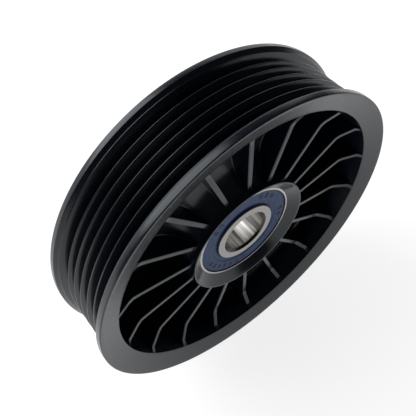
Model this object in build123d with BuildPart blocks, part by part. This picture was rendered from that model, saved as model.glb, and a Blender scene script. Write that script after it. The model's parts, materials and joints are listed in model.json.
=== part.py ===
"""Ribbed-belt tensioner idler: a moulded six-groove pulley on a sealed deep-groove ball bearing.

Millimetres. The origin is the bearing's centre and the pulley spins about Y. The front, the side that
faces away from the tensioner arm, looks along -Y, and +Z is up.
"""

import os
from math import cos, radians, sin, tan

from build123d import *

# ---- Bearing: a 17 x 40 x 12 single-row ball bearing with a contact seal on each side ----
bore_r = 8.5
bearing_r = 20.0
bearing_half = 6.0
inner_shoulder_r = 12.1
outer_shoulder_r = 16.45
bore_chamfer = 0.9
outer_corner_r = 0.3
inner_corner_r = 0.25
ball_count = 8
ball_r = 6.747 / 2
pitch_r = 14.25
race_r = 1.03 * ball_r
ball_clearance = 0.03
seal_seat_r = 19.1
seal_seat_half = 4.6

# ---- Cage: two pressed ribbons riveted together between the balls ----
cage_sheet = 0.45
cage_inner_r = 12.9
cage_outer_r = 15.6
rivet_hole_length = 1.8
pocket_clearance = 0.1
rivet_r = 0.45
rivet_play = 0.01
rivet_head_r = 0.8
rivet_head_height = 0.4

# ---- Seals: a rubber disc backed by a thin steel washer ----
seal_edge_gap = 0.03
seal_lip_gap = 0.06
seal_face_drop = 0.45
seal_bevel_width = 0.4
seal_bevel_drop = 0.15
seal_fold_outer_r = 14.4
seal_fold_inner_r = 14.0
seal_fold_drop = 0.4
seal_lip_outer_r = 12.8
seal_lip_drop = 0.25
seal_lip_tuck = 0.5
insert_cover = 0.1
insert_thickness = 0.3
insert_inner_r = 13.2
insert_outer_r = 16.2

# ---- Pulley: grooves to the PK belt profile ----
groove_count = 6
groove_pitch = 3.56
groove_angle = 40.0
groove_centre = -0.46
crest_r = 58.8
crest_tip_r = 0.25
root_tip_r = 0.5
flange_r = 60.8
rim_front = -14.75
rim_rear = 13.6
shoulder_r = 59.7
shoulder_land = 0.3
shoulder_edge_r = 0.2
flange_wall_run = 0.85
flange_edge_r = 0.3
face_inner_r = 53.4
face_dish = 2.8
recess_r = 52.1
web_front = 1.0
web_rear = 4.5
web_fillet_r = 2.0
front_hub_fillet_r = 11.0
rear_hub_fillet_r = 3.2

# ---- Hub: a collar moulded round the bearing's outer ring ----
hub_edge_r = 24.25
hub_front = -8.65
hub_rear = 8.65
hub_foot = -5.85
hub_lip_r = 19.9
hub_step = 0.4
hub_base_r = 26.3
hub_land = 0.5
hub_rim_round = 0.17

# ---- Ribs: spokes that stiffen the web on both of its sides ----
rib_count = 18
rib_phase = 5.6
rib_thickness = 1.9
rib_crown_r = 46.2
rib_edge_r = 0.35
rib_sink = 1.0
rib_hub_sink = 1.5
front_rib_top = -6.9
front_rib_end = -10.9
rear_rib_top = 7.6
rear_rib_end = 10.2

# ---- Tolerance for picking out edges and corners by where they are ----
pick_tolerance = 0.01


def tip_drop(tip_radius):
    """How far rounding a groove's sharp V with this radius moves its tip back."""
    half_angle = radians(groove_angle / 2)
    return tip_radius * (1 / sin(half_angle) - 1)


def polar_spots(count, radius, start=0.0):
    """Evenly spaced places on a circle about the Y axis, the first at start degrees from +X."""
    angles = [radians(start + 360 * i / count) for i in range(count)]
    return [(radius * cos(a), 0, radius * sin(a)) for a in angles]


# ---------------------------------------------------------------- pulley

half_pitch = groove_pitch / 2
groove_depth = half_pitch / tan(radians(groove_angle / 2))
sharp_crest_r = crest_r + tip_drop(crest_tip_r)
sharp_root_r = sharp_crest_r - groove_depth
track_front = groove_centre - groove_count * half_pitch
track_rear = groove_centre + groove_count * half_pitch
shoulder_out = (shoulder_r - sharp_crest_r) * half_pitch / groove_depth
front_shoulder = track_front - shoulder_out
rear_shoulder = track_rear + shoulder_out
front_land_end = front_shoulder - shoulder_land
rear_land_end = rear_shoulder + shoulder_land

belt_track = []
for groove in range(groove_count):
    groove_start = track_front + groove * groove_pitch
    if groove > 0:
        belt_track.append((sharp_crest_r, groove_start))
    belt_track.append((sharp_root_r, groove_start + half_pitch))


def on_radius(radius):
    """A vertex filter: true for sketch corners at this distance from the axis."""
    return lambda vertex: abs(vertex.X - radius) < pick_tolerance


with BuildSketch(Plane.XY) as rim_section:
    with BuildLine():
        Polyline(
            (recess_r, web_rear),
            (face_inner_r, rim_rear - face_dish),
            (flange_r, rim_rear),
            (flange_r, rear_land_end + flange_wall_run),
            (shoulder_r, rear_land_end),
            (shoulder_r, rear_shoulder),
            *reversed(belt_track),
            (shoulder_r, front_shoulder),
            (shoulder_r, front_land_end),
            (flange_r, front_land_end - flange_wall_run),
            (flange_r, rim_front),
            (face_inner_r, rim_front + face_dish),
            (recess_r, web_front),
            close=True,
        )
    make_face()
    fillet(rim_section.vertices().filter_by(on_radius(sharp_crest_r)), crest_tip_r)
    fillet(rim_section.vertices().filter_by(on_radius(sharp_root_r)), root_tip_r)
    fillet(rim_section.vertices().filter_by(on_radius(shoulder_r)), shoulder_edge_r)
    fillet(rim_section.vertices().filter_by(on_radius(flange_r)), flange_edge_r)
    fillet(rim_section.vertices().filter_by(on_radius(face_inner_r)), flange_edge_r)

with BuildSketch(Plane.XY) as hub_section:
    with BuildLine():
        Polyline(
            (bearing_r, hub_foot),
            (hub_edge_r - hub_land, hub_front),
            (hub_edge_r, hub_front),
            (hub_base_r, web_front),
            (hub_base_r, web_rear),
            (hub_edge_r, hub_rear),
            (hub_edge_r - hub_land, hub_rear),
            (hub_lip_r, bearing_half + hub_step),
            (hub_lip_r, bearing_half),
            (bearing_r, bearing_half),
            close=True,
        )
    make_face()
    hub_rims = hub_section.vertices().filter_by(lambda v: abs(v.Y) > hub_rear - pick_tolerance)
    fillet(hub_rims, hub_rim_round)

with BuildSketch(Plane.XY) as body_section:
    add(rim_section.sketch)
    add(hub_section.sketch)
    with Locations(((hub_base_r + recess_r) / 2, (web_front + web_rear) / 2)):
        Rectangle(recess_r - hub_base_r + rib_sink, web_rear - web_front)
    fillet(body_section.vertices().filter_by(on_radius(recess_r)), web_fillet_r)
    hub_foot_corners = body_section.vertices().filter_by(on_radius(hub_base_r)).sort_by(Axis.Y)
    fillet(hub_foot_corners[0], front_hub_fillet_r)
    fillet(body_section.vertices().filter_by(on_radius(hub_base_r)), rear_hub_fillet_r)


def rib_outline(web_side, top, end):
    """A rib seen from its side: level from the hub to its crown, then rising to the rim's face."""
    Polyline(
        (bearing_r + rib_hub_sink, web_side),
        (bearing_r + rib_hub_sink, top),
        (rib_crown_r, top),
        (face_inner_r + rib_sink, end),
        (face_inner_r + rib_sink, web_side),
        close=True,
    )


with BuildPart() as front_rib:
    with BuildSketch(Plane.XY):
        with BuildLine():
            rib_outline(web_front + rib_sink, front_rib_top, front_rib_end)
        make_face()
    extrude(amount=rib_thickness / 2, both=True)
    front_top_edges = front_rib.edges().filter_by(
        lambda e: e.center().Y < front_rib_top + pick_tolerance
    )
    fillet(front_top_edges.filter_by(lambda e: abs(e.center().Z) > pick_tolerance), rib_edge_r)

with BuildPart() as rear_rib:
    with BuildSketch(Plane.XY):
        with BuildLine():
            rib_outline(web_rear - rib_sink, rear_rib_top, rear_rib_end)
        make_face()
    extrude(amount=rib_thickness / 2, both=True)
    rear_top_edges = rear_rib.edges().filter_by(
        lambda e: e.center().Y > rear_rib_top - pick_tolerance
    )
    fillet(rear_top_edges.filter_by(lambda e: abs(e.center().Z) > pick_tolerance), rib_edge_r)

with BuildPart() as pulley_body:
    with BuildSketch(Plane.XY):
        add(body_section.sketch)
    revolve(axis=Axis.Y)
    for rib in range(rib_count):
        turn = Rotation(0, -(rib_phase + 360 * rib / rib_count), 0)
        add(turn * front_rib.part)
        add(turn * rear_rib.part)
pulley_body.part.label = "pulley_body"

# ---------------------------------------------------------------- bearing rings

with BuildPart() as bearing_outer_ring:
    with BuildSketch(Plane.XY) as outer_section:
        with Locations(((outer_shoulder_r + bearing_r) / 2, 0)):
            Rectangle(bearing_r - outer_shoulder_r, 2 * bearing_half)
        fillet(outer_section.vertices().filter_by(on_radius(bearing_r)), outer_corner_r)
        seat_depth = bearing_half - seal_seat_half
        with Locations(
            (outer_shoulder_r, bearing_half - seat_depth / 2),
            (outer_shoulder_r, -bearing_half + seat_depth / 2),
        ):
            Rectangle(2 * (seal_seat_r - outer_shoulder_r), seat_depth, mode=Mode.SUBTRACT)
        with Locations((pitch_r + ball_r + ball_clearance - race_r, 0)):
            Circle(race_r, mode=Mode.SUBTRACT)
    revolve(axis=Axis.Y)
bearing_outer_ring.part.label = "bearing_outer_ring"

with BuildPart() as bearing_inner_ring:
    with BuildSketch(Plane.XY) as inner_section:
        with Locations(((bore_r + inner_shoulder_r) / 2, 0)):
            Rectangle(inner_shoulder_r - bore_r, 2 * bearing_half)
        chamfer(inner_section.vertices().filter_by(on_radius(bore_r)), bore_chamfer)
        fillet(inner_section.vertices().filter_by(on_radius(inner_shoulder_r)), inner_corner_r)
        with Locations((pitch_r - ball_r - ball_clearance + race_r, 0)):
            Circle(race_r, mode=Mode.SUBTRACT)
    revolve(axis=Axis.Y)
bearing_inner_ring.part.label = "bearing_inner_ring"

# ---------------------------------------------------------------- balls and cage

balls = []
for number, spot in enumerate(polar_spots(ball_count, pitch_r), start=1):
    with BuildPart() as ball:
        with Locations(spot):
            Sphere(ball_r)
    ball.part.label = f"ball_{number}"
    balls.append(ball.part)

pocket_r = ball_r + pocket_clearance
pocket_outer_r = pocket_r + cage_sheet
ball_spots = polar_spots(ball_count, pitch_r)
rivet_spots = polar_spots(ball_count, pitch_r, start=180 / ball_count)

with BuildPart() as cage_front_half:
    with BuildSketch(Plane.XZ):
        Circle(cage_outer_r)
        Circle(cage_inner_r, mode=Mode.SUBTRACT)
    extrude(amount=cage_sheet)
    with Locations(*ball_spots):
        Sphere(pocket_outer_r)
    with BuildSketch(Plane.XZ):
        Circle(cage_outer_r)
        Circle(cage_inner_r, mode=Mode.SUBTRACT)
    extrude(amount=pocket_outer_r, mode=Mode.INTERSECT)
    with Locations(*ball_spots):
        Sphere(pocket_r, mode=Mode.SUBTRACT)
    with Locations(*rivet_spots):
        Cylinder(rivet_r, rivet_hole_length, rotation=(90, 0, 0), mode=Mode.SUBTRACT)
cage_front_half.part.label = "cage_front_half"

with BuildPart() as cage_rear_half:
    add(cage_front_half.part, rotation=(0, 0, 180))
cage_rear_half.part.label = "cage_rear_half"

with BuildPart() as cage_rivets:
    with Locations(*rivet_spots):
        Cylinder(rivet_r - rivet_play, 2 * cage_sheet, rotation=(90, 0, 0))
    for side in (-1, 1):
        head_centre = side * (cage_sheet + rivet_head_height / 2)
        with Locations(*[(x, head_centre, z) for x, _, z in rivet_spots]):
            Cylinder(rivet_head_r, rivet_head_height, rotation=(90, 0, 0))
cage_rivets.part.label = "cage_rivets"

# ---------------------------------------------------------------- seals

seal_face = bearing_half - seal_face_drop
seal_back = seal_seat_half
seal_outer_r = seal_seat_r - seal_edge_gap
seal_inner_r = inner_shoulder_r + seal_lip_gap
seal_fold_face = seal_face - seal_fold_drop
insert_face = seal_back - insert_cover
seal_step_r = outer_shoulder_r - insert_cover

with BuildPart() as seal_rear_rubber:
    with BuildSketch(Plane.XY) as seal_section:
        with BuildLine():
            Polyline(
                (seal_outer_r, seal_back),
                (seal_outer_r, seal_face - seal_bevel_drop),
                (seal_outer_r - seal_bevel_width, seal_face),
                (seal_fold_outer_r, seal_face),
                (seal_fold_inner_r, seal_fold_face),
                (seal_lip_outer_r, seal_fold_face),
                (seal_inner_r, seal_fold_face - seal_lip_drop),
                (seal_inner_r, insert_face - insert_cover),
                (seal_inner_r + seal_lip_tuck, insert_face),
                (seal_step_r, insert_face),
                (seal_step_r, seal_back),
                close=True,
            )
        make_face()
    revolve(axis=Axis.Y)
seal_rear_rubber.part.label = "seal_rear_rubber"

with BuildPart() as seal_rear_insert:
    with BuildSketch(Plane.XZ.offset(-insert_face)):
        Circle(insert_outer_r)
        Circle(insert_inner_r, mode=Mode.SUBTRACT)
    extrude(amount=insert_thickness)
seal_rear_insert.part.label = "seal_rear_insert"

with BuildPart() as seal_front_rubber:
    mirror(seal_rear_rubber.part, about=Plane.XZ)
seal_front_rubber.part.label = "seal_front_rubber"

with BuildPart() as seal_front_insert:
    mirror(seal_rear_insert.part, about=Plane.XZ)
seal_front_insert.part.label = "seal_front_insert"

# ---------------------------------------------------------------- export

pieces = [
    pulley_body.part,
    bearing_outer_ring.part,
    bearing_inner_ring.part,
    *balls,
    cage_front_half.part,
    cage_rear_half.part,
    cage_rivets.part,
    seal_front_rubber.part,
    seal_front_insert.part,
    seal_rear_rubber.part,
    seal_rear_insert.part,
]

os.makedirs("parts", exist_ok=True)
for piece in pieces:
    export_step(piece, f"parts/{piece.label}.step")
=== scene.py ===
import json
from math import asin, cos, hypot, pi, radians, sin, sqrt, tan

import bpy
from mathutils import Matrix, Vector


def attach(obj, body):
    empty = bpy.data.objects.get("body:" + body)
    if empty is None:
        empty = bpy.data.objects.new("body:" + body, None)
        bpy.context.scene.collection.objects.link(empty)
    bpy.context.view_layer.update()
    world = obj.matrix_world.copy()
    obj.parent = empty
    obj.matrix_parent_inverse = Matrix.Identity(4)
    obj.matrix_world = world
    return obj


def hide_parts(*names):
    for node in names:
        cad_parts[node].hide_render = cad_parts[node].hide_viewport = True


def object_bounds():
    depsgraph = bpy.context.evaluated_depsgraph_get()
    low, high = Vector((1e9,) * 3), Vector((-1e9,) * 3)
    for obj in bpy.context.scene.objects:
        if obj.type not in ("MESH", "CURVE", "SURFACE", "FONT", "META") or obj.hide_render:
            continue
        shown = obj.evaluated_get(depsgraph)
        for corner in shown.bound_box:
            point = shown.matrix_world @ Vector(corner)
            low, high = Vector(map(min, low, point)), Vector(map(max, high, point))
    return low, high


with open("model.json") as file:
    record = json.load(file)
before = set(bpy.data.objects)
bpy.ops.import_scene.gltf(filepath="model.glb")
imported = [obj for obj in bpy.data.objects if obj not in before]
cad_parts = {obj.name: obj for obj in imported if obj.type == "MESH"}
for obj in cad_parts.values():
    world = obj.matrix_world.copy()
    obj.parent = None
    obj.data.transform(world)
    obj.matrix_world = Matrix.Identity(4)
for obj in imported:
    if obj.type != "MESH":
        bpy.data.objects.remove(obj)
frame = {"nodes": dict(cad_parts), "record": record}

MM = 0.001
cad_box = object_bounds()

# ---------------------------------------------------------------- sizes, in millimetres, as in the CAD

groove_count = 6
groove_pitch = 3.56
groove_half_angle = radians(20)
groove_centre = -0.46
crest_r = 58.8
crest_tip_r = 0.25
root_tip_r = 0.5
flange_r = 60.8
rim_front = -14.75
rim_rear = 13.6
shoulder_r = 59.7
shoulder_land = 0.3
shoulder_edge_r = 0.2
flange_wall_run = 0.85
flange_edge_r = 0.3
face_inner_r = 53.4
face_dish = 2.8
recess_r = 52.1
web_front = 1.0
web_rear = 4.5
web_fillet_r = 2.0
front_hub_fillet_r = 11.0
rear_hub_fillet_r = 3.2
hub_edge_r = 24.25
hub_top = 8.65
hub_foot = 5.85
hub_lip_r = 19.9
hub_step = 0.4
hub_base_r = 26.3
hub_land = 0.5
hub_rim_round = 0.17
hub_lip_round = 0.1
bearing_r = 20.0
bearing_half = 6.0
bore_r = 8.5
bore_chamfer = 0.9
inner_shoulder_r = 12.1
inner_corner_r = 0.25
outer_shoulder_r = 16.45
outer_corner_r = 0.3
ring_edge_r = 0.12
seat_edge_r = 0.1
ball_r = 6.747 / 2
pitch_r = 14.25
race_r = 1.03 * ball_r
ball_clearance = 0.03
seal_seat_r = 19.1
seal_seat_half = 4.6
seal_face = 5.55
seal_groove_width = 0.28
seal_groove_depth = 0.4
seal_edge_gap = 0.03
seal_bevel = 0.08
seal_fold_outer_r = 14.5
seal_fold_inner_r = 14.05
seal_fold_drop = 0.36
seal_fold_round = 0.2
seal_lip_outer_r = 12.9
seal_lip_drop = 0.42
seal_inner_r = 12.16
seal_inner_drop = 0.7
seal_back = 4.5
seal_step_r = 16.35
seal_crisp_round = 0.03
seal_edge_round = 0.05
seal_soft_round = 0.3
mark_groups = ((52, 3), (130, 2), (231, 7), (352, 2))
mark_offset = 0.45
mark_short_shares = (0.55, 0.9)
mark_sink = 0.1
mark_rise = 0.05
mark_r = 16.5
mark_reach = 1.1
mark_half_width = 0.26
mark_pitch = 11.0
rib_count = 18
rib_phase = 5.6
rib_thickness = 1.9
rib_crown_r = 46.2
rib_bend = 1.2
rib_edge_r = 0.35
rib_foot_r = 0.2
rib_foot_flare = 0.2
rib_start_r = 24.1
rib_sink = 1.0
low_rib_share = 0.3
front_rib_top = -6.9
front_rib_end = -10.9
rear_rib_top = 7.6
rear_rib_end = 10.2

# ---------------------------------------------------------------- mesh fineness, runs in millimetres

rim_step = 1.2
recess_step = 1.5
bearing_step = 1.0
arc_steps = 6
arc_steps_per_mm = 1.6
gap_steps = 12
lathe_columns = 192
step_bias = 0.3
hub_bore_rows = (-3.0, 0.0, 3.0)
sharp_angle = radians(35)

# ---------------------------------------------------------------- mesh helpers


def rounded(corners):
    """A profile through (radius, height, rounding) corners, each rounded by a tangent arc."""
    line = []
    for i, (x, y, rounding) in enumerate(corners):
        if rounding == 0 or i in (0, len(corners) - 1):
            line.append((x, y))
            continue
        before = Vector(corners[i - 1][:2]) - Vector((x, y))
        after = Vector(corners[i + 1][:2]) - Vector((x, y))
        before.normalize()
        after.normalize()
        half = before.angle(after) / 2
        reach = rounding / tan(half)
        centre = Vector((x, y)) + (before + after).normalized() * (rounding / sin(half))
        start = Vector((x, y)) + before * reach - centre
        end = Vector((x, y)) + after * reach - centre
        sweep = start.angle_signed(end)
        steps = max(arc_steps, round(arc_steps_per_mm * rounding))
        for step in range(steps + 1):
            turned = start.copy()
            turned.rotate(Matrix.Rotation(-sweep * step / steps, 2))
            line.append(tuple(centre + turned))
    return line


def divided(line, run_length):
    """The same profile with its long straight runs cut into even steps of about this length."""
    out = [line[0]]
    for (x0, y0), (x1, y1) in zip(line, line[1:]):
        steps = max(1, round(hypot(x1 - x0, y1 - y0) / run_length + step_bias))
        for step in range(1, steps + 1):
            share = step / steps
            out.append((x0 + (x1 - x0) * share, y0 + (y1 - y0) * share))
    return out


def mesh_object(name, points, faces):
    """A smooth-shaded object, in metres, from points in millimetres, sharp where faces meet steeply."""
    mesh = bpy.data.meshes.new(name)
    mesh.from_pydata([(x * MM, y * MM, z * MM) for x, y, z in points], [], faces)
    mesh.polygons.foreach_set("use_smooth", [True] * len(mesh.polygons))
    mesh.set_sharp_from_angle(angle=sharp_angle)
    mesh.validate()
    thing = bpy.data.objects.new(name, mesh)
    bpy.context.scene.collection.objects.link(thing)
    return thing


def grid_faces(rows, columns):
    """Quads between neighbouring rows and columns of a grid that closes on itself both ways."""
    faces = []
    for row in range(rows):
        below = (row + 1) % rows
        for column in range(columns):
            right = (column + 1) % columns
            faces.append((row * columns + column, row * columns + right,
                          below * columns + right, below * columns + column))
    return faces


def lathe(name, profile):
    """A closed profile of (radius, height) turned about the Y axis."""
    points = []
    for radius, height in profile:
        for column in range(lathe_columns):
            angle = 2 * pi * column / lathe_columns
            points.append((radius * cos(angle), height, radius * sin(angle)))
    return mesh_object(name, points, grid_faces(len(profile), lathe_columns))


# ---------------------------------------------------------------- pulley


def outer_profile():
    """The rim's outside, from the front face's inner edge over the belt track to the rear face's."""
    half_pitch = groove_pitch / 2
    depth = half_pitch / tan(groove_half_angle)
    tip = 1 / sin(groove_half_angle) - 1
    sharp_crest = crest_r + crest_tip_r * tip
    sharp_root = sharp_crest - depth
    track_front = groove_centre - groove_count * half_pitch
    track_rear = groove_centre + groove_count * half_pitch
    shoulder_out = (shoulder_r - sharp_crest) * half_pitch / depth
    front_land_end = track_front - shoulder_out - shoulder_land
    rear_land_end = track_rear + shoulder_out + shoulder_land
    corners = [
        (recess_r, web_front, 0),
        (face_inner_r, rim_front + face_dish, flange_edge_r),
        (flange_r, rim_front, flange_edge_r),
        (flange_r, front_land_end - flange_wall_run, flange_edge_r),
        (shoulder_r, front_land_end, shoulder_edge_r),
        (shoulder_r, track_front - shoulder_out, shoulder_edge_r),
    ]
    for groove in range(groove_count):
        start = track_front + groove * groove_pitch
        if groove > 0:
            corners.append((sharp_crest, start, crest_tip_r))
        corners.append((sharp_root, start + half_pitch, root_tip_r))
    corners += [
        (shoulder_r, track_rear + shoulder_out, shoulder_edge_r),
        (shoulder_r, rear_land_end, shoulder_edge_r),
        (flange_r, rear_land_end + flange_wall_run, flange_edge_r),
        (flange_r, rim_rear, flange_edge_r),
        (face_inner_r, rim_rear - face_dish, flange_edge_r),
        (recess_r, web_rear, 0),
    ]
    return divided(rounded(corners)[1:-1], rim_step)


def recess_profile(side, web, rim_corner, hub_fillet_r):
    """From the rim's face down the recess wall, over the web and up the hub's outside to its land."""
    corners = [
        (face_inner_r, rim_corner, 0),
        (recess_r, web, web_fillet_r),
        (hub_base_r, web, hub_fillet_r),
        (hub_edge_r, side * hub_top, hub_rim_round),
        (hub_edge_r - hub_land, side * hub_top, hub_rim_round),
    ]
    if side < 0:
        corners.append((bearing_r, side * hub_foot, 0))
    else:
        corners += [
            (hub_lip_r, side * (bearing_half + hub_step), hub_lip_round),
            (hub_lip_r, side * bearing_half, 0),
            (bearing_r, side * bearing_half, 0),
        ]
    return divided(rounded(corners)[1:], recess_step)


def rib_height(radius, top, end):
    """The height of a rib's top at this radius: level, then bending at its crown to rise to the rim."""
    rise = (end - top) / (face_inner_r + rib_sink - rib_crown_r)
    past = radius - rib_crown_r
    if abs(past) < rib_bend:
        return top + (past + rib_bend) ** 2 / (4 * rib_bend) * rise
    return top + max(0.0, past) * rise


def sector_columns():
    """The columns across one rib and the gap beside it, as (kind, share) pairs."""
    columns = [("top", share) for share in (-0.5, 0.0, 0.5)]
    columns += [("edge", share) for share in (0.0, 0.35, 0.7, 1.0)]
    columns += [("foot", share) for share in (1.0, 0.75, 0.5, 0.25, 0.0)]
    columns += [("gap", step / gap_steps) for step in range(1, gap_steps)]
    columns += [("far foot", share) for share in (0.0, 0.25, 0.5, 0.75, 1.0)]
    columns += [("far edge", share) for share in (1.0, 0.7, 0.35, 0.0)]
    return columns


def column_place(kind, share, radius, height):
    """The angle past the rib's middle and the lift off the web of a column, for a rib this tall."""
    sector = 2 * pi / rib_count
    half = rib_thickness / 2
    foot = min(rib_foot_r, low_rib_share * height)
    edge = min(rib_edge_r, low_rib_share * height)
    flare = rib_foot_r + rib_foot_flare
    if kind == "top":
        return asin(share * 2 * (half - rib_edge_r) / radius), height
    if kind.endswith("edge"):
        turn = share * pi / 2
        offset = half - rib_edge_r + rib_edge_r * sin(turn)
        lift = height - edge + edge * cos(turn)
        angle = asin(offset / radius)
    elif kind.endswith("foot"):
        turn = share * pi / 2
        offset = half + flare * (1 - sin(turn))
        lift = foot * (1 - cos(turn))
        angle = asin(offset / radius)
    else:
        start = asin((half + flare) / radius)
        return start + (sector - 2 * start) * share, 0.0
    return (sector - angle if kind.startswith("far") else angle), lift


def pulley_mesh():
    """One closed skin: every row of the profile runs once round the pulley, over all its ribs."""
    front = recess_profile(-1, web_front, rim_front + face_dish, front_hub_fillet_r)
    rear = recess_profile(1, web_rear, rim_rear - face_dish, rear_hub_fillet_r)
    bore = [(bearing_r, y) for y in hub_bore_rows]
    loop = [(p, (front_rib_top, front_rib_end, -1)) for p in reversed(front)]
    loop += [(p, None) for p in outer_profile()]
    loop += [(p, (rear_rib_top, rear_rib_end, 1)) for p in rear]
    loop += [(p, None) for p in reversed(bore)]
    columns = sector_columns()
    points = []
    for (radius, y), rib in loop:
        height = 0.0
        side = rib[2] if rib else 0
        if rib and radius > rib_start_r:
            top, end = rib[:2]
            height = max(0.0, side * (rib_height(radius, top, end) - y))
        for sector in range(rib_count):
            middle = radians(rib_phase) + 2 * pi * sector / rib_count
            for kind, share in columns:
                angle, lift = column_place(kind, share, radius, height)
                place = middle + angle
                points.append((radius * cos(place), y + side * lift, radius * sin(place)))
    return mesh_object("pulley_skin", points, grid_faces(len(loop), rib_count * len(columns)))


# ---------------------------------------------------------------- bearing


def race_arc(centre_r, shoulder, steps=16):
    """A raceway's arc from +Y to -Y, between the points where it meets its ring's shoulder."""
    outward = 1 if shoulder > centre_r else -1
    half_width = sqrt(race_r ** 2 - (shoulder - centre_r) ** 2)
    half_angle = asin(half_width / race_r)
    arc = []
    for step in range(1, steps):
        angle = half_angle * (1 - 2 * step / steps)
        arc.append((centre_r + outward * race_r * cos(angle), race_r * sin(angle), 0))
    return [(shoulder, half_width, 0), *arc, (shoulder, -half_width, 0)]


def ring_half(corners):
    """The same corners mirrored to the front side, in the order that carries the outline on."""
    return [(radius, -y, rounding) for radius, y, rounding in reversed(corners)]


def outer_ring_profile():
    """The outer ring's closed outline, starting on its outside."""
    rear = [
        (bearing_r, bearing_half, outer_corner_r),
        (seal_seat_r, bearing_half, ring_edge_r),
        (seal_seat_r, seal_seat_half, seat_edge_r),
        (outer_shoulder_r, seal_seat_half, seat_edge_r),
    ]
    race = race_arc(pitch_r + ball_r + ball_clearance - race_r, outer_shoulder_r)
    return closed_outline([(bearing_r, 0, 0), *rear, *race, *ring_half(rear), (bearing_r, 0, 0)])


def inner_ring_profile():
    """The inner ring's closed outline, starting in its bore."""
    rear = [
        (bore_r, bearing_half - bore_chamfer, ring_edge_r),
        (bore_r + bore_chamfer, bearing_half, ring_edge_r),
        (inner_shoulder_r, bearing_half, inner_corner_r),
    ]
    race = race_arc(pitch_r - ball_r - ball_clearance + race_r, inner_shoulder_r)
    return closed_outline([(bore_r, 0, 0), *rear, *race, *ring_half(rear), (bore_r, 0, 0)])


def seal_profile(side):
    """A seal's closed outline: a groove at its edge, a flat face, a fold and a lip on the inner ring."""
    face = seal_face
    outer_r = seal_seat_r - seal_edge_gap
    groove_r = seal_seat_r - seal_groove_width
    corners = [
        (outer_r, seal_seat_half, 0),
        (outer_r, face - seal_groove_depth, seal_crisp_round),
        (groove_r, face - seal_groove_depth, seal_edge_round),
        (groove_r - seal_bevel, face, seal_bevel),
        (seal_fold_outer_r, face, seal_soft_round),
        (seal_fold_inner_r, face - seal_fold_drop, seal_fold_round),
        (seal_lip_outer_r, face - seal_lip_drop, seal_fold_round),
        (seal_inner_r, face - seal_inner_drop, seal_edge_round),
        (seal_inner_r, seal_back, 0),
        (seal_step_r, seal_back, 0),
        (seal_step_r, seal_seat_half, 0),
        (outer_r, seal_seat_half, 0),
    ]
    return [(radius, side * y) for radius, y in closed_outline(corners)]


def closed_outline(corners):
    """The rounded outline of corners whose last one repeats the first, without the repeat."""
    return divided(rounded(corners), bearing_step)[:-1]


box_quads = [(0, 1, 3, 2), (4, 6, 7, 5), (0, 4, 5, 1), (2, 3, 7, 6), (0, 2, 6, 4), (1, 5, 7, 3)]


def seal_marks(side):
    """Low moulded bars on a seal's face, two to a mark, as (points, faces) of plain boxes."""
    points, faces = [], []
    for middle, count in mark_groups:
        for mark in range(count):
            angle = radians(middle + mark_pitch * (mark - (count - 1) / 2))
            along, across = cos(angle), sin(angle)
            short_reach = mark_reach * mark_short_shares[mark % 2]
            for offset, reach in ((-mark_offset, mark_reach), (mark_offset, short_reach)):
                corners = []
                for radius in (mark_r - reach, mark_r + reach):
                    for swing in (offset - mark_half_width, offset + mark_half_width):
                        corners.append((radius * along - swing * across, radius * across + swing * along))
                start = len(points)
                for height in (seal_face - mark_sink, seal_face + mark_rise):
                    points += [(x, side * height, z) for x, z in corners]
                faces += [tuple(start + i for i in quad) for quad in box_quads]
    return points, faces


# ---------------------------------------------------------------- materials


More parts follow.
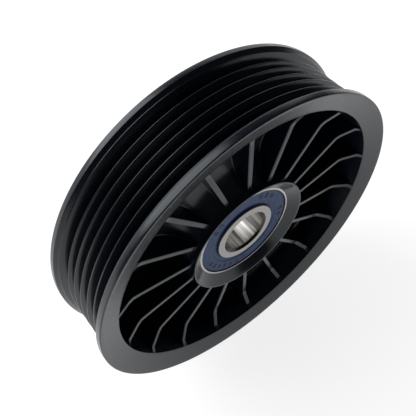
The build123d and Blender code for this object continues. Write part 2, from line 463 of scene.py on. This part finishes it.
class Shader:
    """A Principled material with short ways to add the nodes that vary it."""

    def __init__(self, name, base, roughness, metallic=0.0, ior=1.5):
        self.material = bpy.data.materials.new(name)
        self.material.use_nodes = True
        self.nodes = self.material.node_tree.nodes
        self.links = self.material.node_tree.links
        self.surface = self.nodes["Principled BSDF"]
        self.surface.inputs["Base Color"].default_value = (*base, 1)
        self.surface.inputs["Roughness"].default_value = roughness
        self.surface.inputs["Metallic"].default_value = metallic
        self.surface.inputs["IOR"].default_value = ior

    def place(self):
        """Object coordinates, in metres."""
        return self.nodes.new("ShaderNodeTexCoord").outputs["Object"]

    def turned_place(self):
        """(distance from the spin axis, height along it, 0): patterns on it run round as lathe marks do."""
        split = self.nodes.new("ShaderNodeSeparateXYZ")
        self.links.new(self.place(), split.inputs[0])
        flat = self.nodes.new("ShaderNodeCombineXYZ")
        self.links.new(split.outputs["X"], flat.inputs["X"])
        self.links.new(split.outputs["Z"], flat.inputs["Y"])
        length = self.nodes.new("ShaderNodeVectorMath")
        length.operation = "LENGTH"
        self.links.new(flat.outputs[0], length.inputs[0])
        turned = self.nodes.new("ShaderNodeCombineXYZ")
        self.links.new(length.outputs["Value"], turned.inputs["X"])
        self.links.new(split.outputs["Y"], turned.inputs["Y"])
        return turned.outputs[0]

    def distance(self):
        """Distance from the spin axis, in metres."""
        split = self.nodes.new("ShaderNodeSeparateXYZ")
        self.links.new(self.turned_place(), split.inputs[0])
        return split.outputs["X"]

    def noise(self, place, scale, detail=3.0, roughness=0.55):
        """A noise pattern from 0 to 1, with this many features to the metre."""
        texture = self.nodes.new("ShaderNodeTexNoise")
        texture.inputs["Scale"].default_value = scale
        texture.inputs["Detail"].default_value = detail
        texture.inputs["Roughness"].default_value = roughness
        self.links.new(place, texture.inputs["Vector"])
        return texture.outputs["Fac"]

    def spread(self, pattern, low, high, start=0.3, end=0.7):
        """The pattern stretched so that start gives low and end gives high."""
        stretch = self.nodes.new("ShaderNodeMapRange")
        stretch.inputs["From Min"].default_value = start
        stretch.inputs["From Max"].default_value = end
        stretch.inputs["To Min"].default_value = low
        stretch.inputs["To Max"].default_value = high
        self.links.new(pattern, stretch.inputs["Value"])
        return stretch.outputs["Result"]

    def colours(self, pattern, dark, light, start=0.3, end=0.7):
        """Base colour between dark and light, following the pattern."""
        ramp = self.nodes.new("ShaderNodeValToRGB")
        ramp.color_ramp.elements[0].position = start
        ramp.color_ramp.elements[1].position = end
        ramp.color_ramp.elements[0].color = (*dark, 1)
        ramp.color_ramp.elements[1].color = (*light, 1)
        self.links.new(pattern, ramp.inputs["Fac"])
        self.links.new(ramp.outputs["Color"], self.surface.inputs["Base Color"])

    def blend(self, mask, outside, inside):
        """A pattern that is outside where the mask is 0 and inside where it is 1."""
        mix = self.nodes.new("ShaderNodeMix")
        self.links.new(mask, mix.inputs["Factor"])
        self.links.new(outside, mix.inputs["A"])
        self.links.new(inside, mix.inputs["B"])
        return mix.outputs["Result"]

    def darken(self, first_mask, second_mask, colour):
        """Base colour turned to this one where both masks are 1."""
        both = self.nodes.new("ShaderNodeMath")
        both.operation = "MULTIPLY"
        self.links.new(first_mask, both.inputs[0])
        self.links.new(second_mask, both.inputs[1])
        mix = self.nodes.new("ShaderNodeMix")
        mix.data_type = "RGBA"
        mix.inputs["B"].default_value = (*colour, 1)
        self.links.new(both.outputs[0], mix.inputs["Factor"])
        base = self.surface.inputs["Base Color"]
        self.links.new(base.links[0].from_socket, mix.inputs["A"])
        self.links.new(mix.outputs["Result"], base)

    def stretched_place(self, amount):
        """Object coordinates squeezed along the spin axis, so that patterns on it run along the axis."""
        squeeze = self.nodes.new("ShaderNodeVectorMath")
        squeeze.operation = "MULTIPLY"
        squeeze.inputs[1].default_value = (1, amount, 1)
        self.links.new(self.place(), squeeze.inputs[0])
        return squeeze.outputs["Vector"]

    def roughness(self, pattern, low, high):
        """Roughness between low and high, following the pattern."""
        self.links.new(self.spread(pattern, low, high), self.surface.inputs["Roughness"])

    def bump(self, pattern, depth):
        """Relief of this depth, in metres, added over any relief already there."""
        relief = self.nodes.new("ShaderNodeBump")
        relief.inputs["Strength"].default_value = 1.0
        relief.inputs["Distance"].default_value = depth
        self.links.new(pattern, relief.inputs["Height"])
        normal = self.surface.inputs["Normal"]
        if normal.is_linked:
            self.links.new(normal.links[0].from_socket, relief.inputs["Normal"])
        self.links.new(relief.outputs["Normal"], normal)


def moulded_plastic():
    """Black glass-filled nylon: a fine satin grain, faint mottling, and a glossier ring-marked collar."""
    shader = Shader("moulded_plastic", (0.003, 0.0045, 0.007), 0.28)
    shader.surface.inputs["Specular Tint"].default_value = (0.9, 0.97, 1.0, 1)
    place = shader.place()
    mottling = shader.noise(place, 140, 4.0)
    shader.colours(mottling, (0.0014, 0.0034, 0.0085), (0.0030, 0.0058, 0.0125))
    gloss = shader.noise(place, 420, 5.0, 0.65)
    collar_edge = hub_edge_r - hub_land
    collar = shader.spread(shader.distance(), 1.0, 0.0, (collar_edge - 0.1) * MM, collar_edge * MM)
    uneven = shader.blend(collar, shader.spread(gloss, 0.20, 0.27), shader.spread(gloss, 0.13, 0.18))
    shader.links.new(uneven, shader.surface.inputs["Roughness"])
    tool_rings = shader.noise(shader.turned_place(), 2200, 2.0)
    shader.bump(shader.blend(collar, shader.spread(tool_rings, 0.5, 0.5), tool_rings), 0.000012)
    shader.bump(shader.noise(place, 900, 2.0), 0.000007)
    shader.bump(shader.noise(place, 5200, 3.0), 0.000002)
    return shader.material


def ground_steel():
    """Bearing rings: bright steel with fine marks running round the axis."""
    shader = Shader("ground_steel", (0.5, 0.49, 0.47), 0.27, 1.0)
    turned = shader.turned_place()
    shader.colours(shader.noise(shader.place(), 220, 3.0), (0.34, 0.335, 0.32), (0.46, 0.452, 0.435))
    shader.roughness(shader.noise(turned, 2600, 3.0), 0.18, 0.28)
    shader.bump(shader.noise(turned, 4200, 4.0, 0.7), 0.0000035)
    return shader.material


def bored_steel():
    """The inner ring: ground faces, a chamfer painted dark as painted shade, and a bore streaked along the
    axis.
    """
    shader = Shader("bored_steel", (0.45, 0.44, 0.42), 0.3, 1.0)
    turned = shader.turned_place()
    distance = shader.distance()
    in_bore = shader.spread(distance, 1.0, 0.0, (bore_r + 0.2) * MM, (bore_r + 0.4) * MM)
    streaks = shader.noise(shader.stretched_place(0.03), 800, 3.0, 0.6)
    rings = shader.noise(turned, 2600, 3.0)
    drawn = shader.spread(streaks, 0.35, 1.0, 0.42, 0.6)
    finish = shader.blend(in_bore, shader.spread(rings, 0.37, 0.56), drawn)
    shader.colours(finish, (0.09, 0.088, 0.083), (0.52, 0.512, 0.49), 0.0, 1.0)
    # Painted shade: the bore chamfer's base colour is painted near black, standing in for the dark
    # surroundings it reflects.
    past_bore = shader.spread(distance, 0.0, 1.0, (bore_r + 0.02) * MM, (bore_r + 0.06) * MM)
    past_chamfer = (bore_r + bore_chamfer) * MM
    before_face = shader.spread(distance, 1.0, 0.0, past_chamfer - 0.00006, past_chamfer - 0.00002)
    shader.darken(past_bore, before_face, (0.05, 0.045, 0.04))
    uneven = shader.blend(in_bore, shader.spread(rings, 0.16, 0.27), shader.spread(streaks, 0.28, 0.42))
    shader.links.new(uneven, shader.surface.inputs["Roughness"])
    shader.bump(shader.blend(in_bore, rings, streaks), 0.000012)
    return shader.material


def polished_steel():
    """The balls: mirror-bright with the faintest unevenness."""
    shader = Shader("polished_steel", (0.62, 0.62, 0.62), 0.08, 1.0)
    shader.colours(shader.noise(shader.place(), 300), (0.58, 0.58, 0.58), (0.66, 0.66, 0.66))
    shader.roughness(shader.noise(shader.place(), 1500), 0.06, 0.13)
    shader.bump(shader.noise(shader.place(), 3000), 0.0000005)
    return shader.material


def pressed_sheet():
    """Pressed steel: cage, rivets and the seals' washers."""
    shader = Shader("pressed_sheet", (0.4, 0.39, 0.37), 0.4, 1.0)
    shader.colours(shader.noise(shader.place(), 500), (0.32, 0.31, 0.29), (0.45, 0.44, 0.42))
    shader.roughness(shader.noise(shader.place(), 1800), 0.32, 0.5)
    shader.bump(shader.noise(shader.place(), 3500), 0.000004)
    return shader.material


def seal_rubber():
    """Navy moulded nitrile rubber, matt, with a fine grain."""
    shader = Shader("seal_rubber", (0.03, 0.06, 0.16), 0.55)
    shader.surface.inputs["Specular IOR Level"].default_value = 0.35
    shader.surface.inputs["Specular Tint"].default_value = (0.7, 0.85, 1.0, 1)
    place = shader.place()
    shader.colours(shader.noise(place, 380, 4.0), (0.018, 0.040, 0.118), (0.029, 0.058, 0.158))
    shader.roughness(shader.noise(place, 1200, 3.0), 0.45, 0.62)
    shader.bump(shader.noise(place, 3800, 3.0), 0.00001)
    return shader.material


def stamped_rubber():
    """The seals' moulded marks: the same rubber, darker."""
    shader = Shader("stamped_rubber", (0.008, 0.014, 0.035), 0.6)
    shader.surface.inputs["Specular IOR Level"].default_value = 0.3
    place = shader.place()
    shader.colours(shader.noise(place, 900, 3.0), (0.002, 0.005, 0.014), (0.005, 0.010, 0.026))
    shader.roughness(shader.noise(place, 1500, 3.0), 0.5, 0.7)
    shader.bump(shader.noise(place, 4200, 3.0), 0.000008)
    return shader.material


plastic = moulded_plastic()
steel = ground_steel()
bored = bored_steel()
rubber = seal_rubber()
stamped = stamped_rubber()

# ---------------------------------------------------------------- pieces


def install(thing, material, node_name, body):
    """Put a built piece in its CAD node's place, on its body."""
    thing.data.materials.append(material)
    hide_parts(node_name)
    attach(thing, body)


install(pulley_mesh(), plastic, "pulley_body", "pulley")
install(lathe("outer_ring_turned", outer_ring_profile()), steel, "bearing_outer_ring", "pulley")
install(lathe("inner_ring_turned", inner_ring_profile()), bored, "bearing_inner_ring", "inner_ring")
for label, side in (("front", -1), ("rear", 1)):
    install(lathe(f"seal_{label}_moulded", seal_profile(side)), rubber, f"seal_{label}_rubber", "pulley")
    marks = mesh_object(f"seal_{label}_marks", *seal_marks(side))
    marks.data.materials.append(stamped)
    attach(marks, "pulley")

finishes = {"ball_steel": polished_steel(), "pressed_steel": pressed_sheet()}
for subpart in frame["record"]["subparts"]:
    slot_name = subpart["material_slot"]
    if slot_name in finishes:
        node = frame["nodes"][subpart["node"]]
        for material_slot in node.material_slots:
            material_slot.link = "OBJECT"
            material_slot.material = finishes[slot_name]

# ---------------------------------------------------------------- stage, camera and light

floor_z = cad_box[0].z
floor_mesh = bpy.data.meshes.new("floor")
floor_reach = 3.0
floor_signs = ((-1, -1), (1, -1), (1, 1), (-1, 1))
floor_corners = [(x * floor_reach, y * floor_reach, floor_z) for x, y in floor_signs]
floor_mesh.from_pydata(floor_corners, [], [(0, 1, 2, 3)])
floor = bpy.data.objects.new("floor", floor_mesh)
bpy.context.scene.collection.objects.link(floor)
floor_paint = Shader("pale_floor", (0.42, 0.42, 0.42), 0.8)
floor_paint.surface.inputs["Emission Color"].default_value = (1, 1, 1, 1)
floor_paint.surface.inputs["Emission Strength"].default_value = 0.84
floor.data.materials.append(floor_paint.material)

camera_data = bpy.data.cameras.new("camera")
camera = bpy.data.objects.new("camera", camera_data)
bpy.context.scene.collection.objects.link(camera)
bpy.context.scene.camera = camera
azimuth, elevation = radians(-41.095), radians(57.491)
towards_camera = Vector((sin(azimuth) * cos(elevation), -cos(azimuth) * cos(elevation), sin(elevation)))
camera.rotation_mode = "QUATERNION"
camera.rotation_quaternion = (-towards_camera).to_track_quat("-Z", "Y")
camera.location = (-0.05076, -0.07361, 0.14210)
camera_data.sensor_width = 36
camera_data.lens = 40.244
camera_data.shift_x = -0.1330
camera_data.shift_y = 0.0233
camera_data.clip_start = 0.01

world = bpy.data.worlds.new("studio")
world.use_nodes = True
world.node_tree.nodes["Background"].inputs["Color"].default_value = (1, 1, 1, 1)
world.node_tree.nodes["Background"].inputs["Strength"].default_value = 0.05
bpy.context.scene.world = world


def softbox(name, place, aim, width, height, power):
    """A rectangular area light at place, facing aim."""
    lamp = bpy.data.lights.new(name, "AREA")
    lamp.shape = "RECTANGLE"
    lamp.size = width
    lamp.size_y = height
    lamp.energy = power
    thing = bpy.data.objects.new(name, lamp)
    thing.location = place
    thing.rotation_mode = "QUATERNION"
    thing.rotation_quaternion = (Vector(aim) - Vector(place)).to_track_quat("-Z", "Y")
    bpy.context.scene.collection.objects.link(thing)


softbox("top_light", (-0.39, 0.56, 0.78), (0, 0, 0), 0.85, 0.85, 6.8)
softbox("back_light", (0, 0.9, 0.42), (0, 0, 0.42), 3.0, 0.96, 9)

bpy.context.scene.view_settings.view_transform = "Standard"
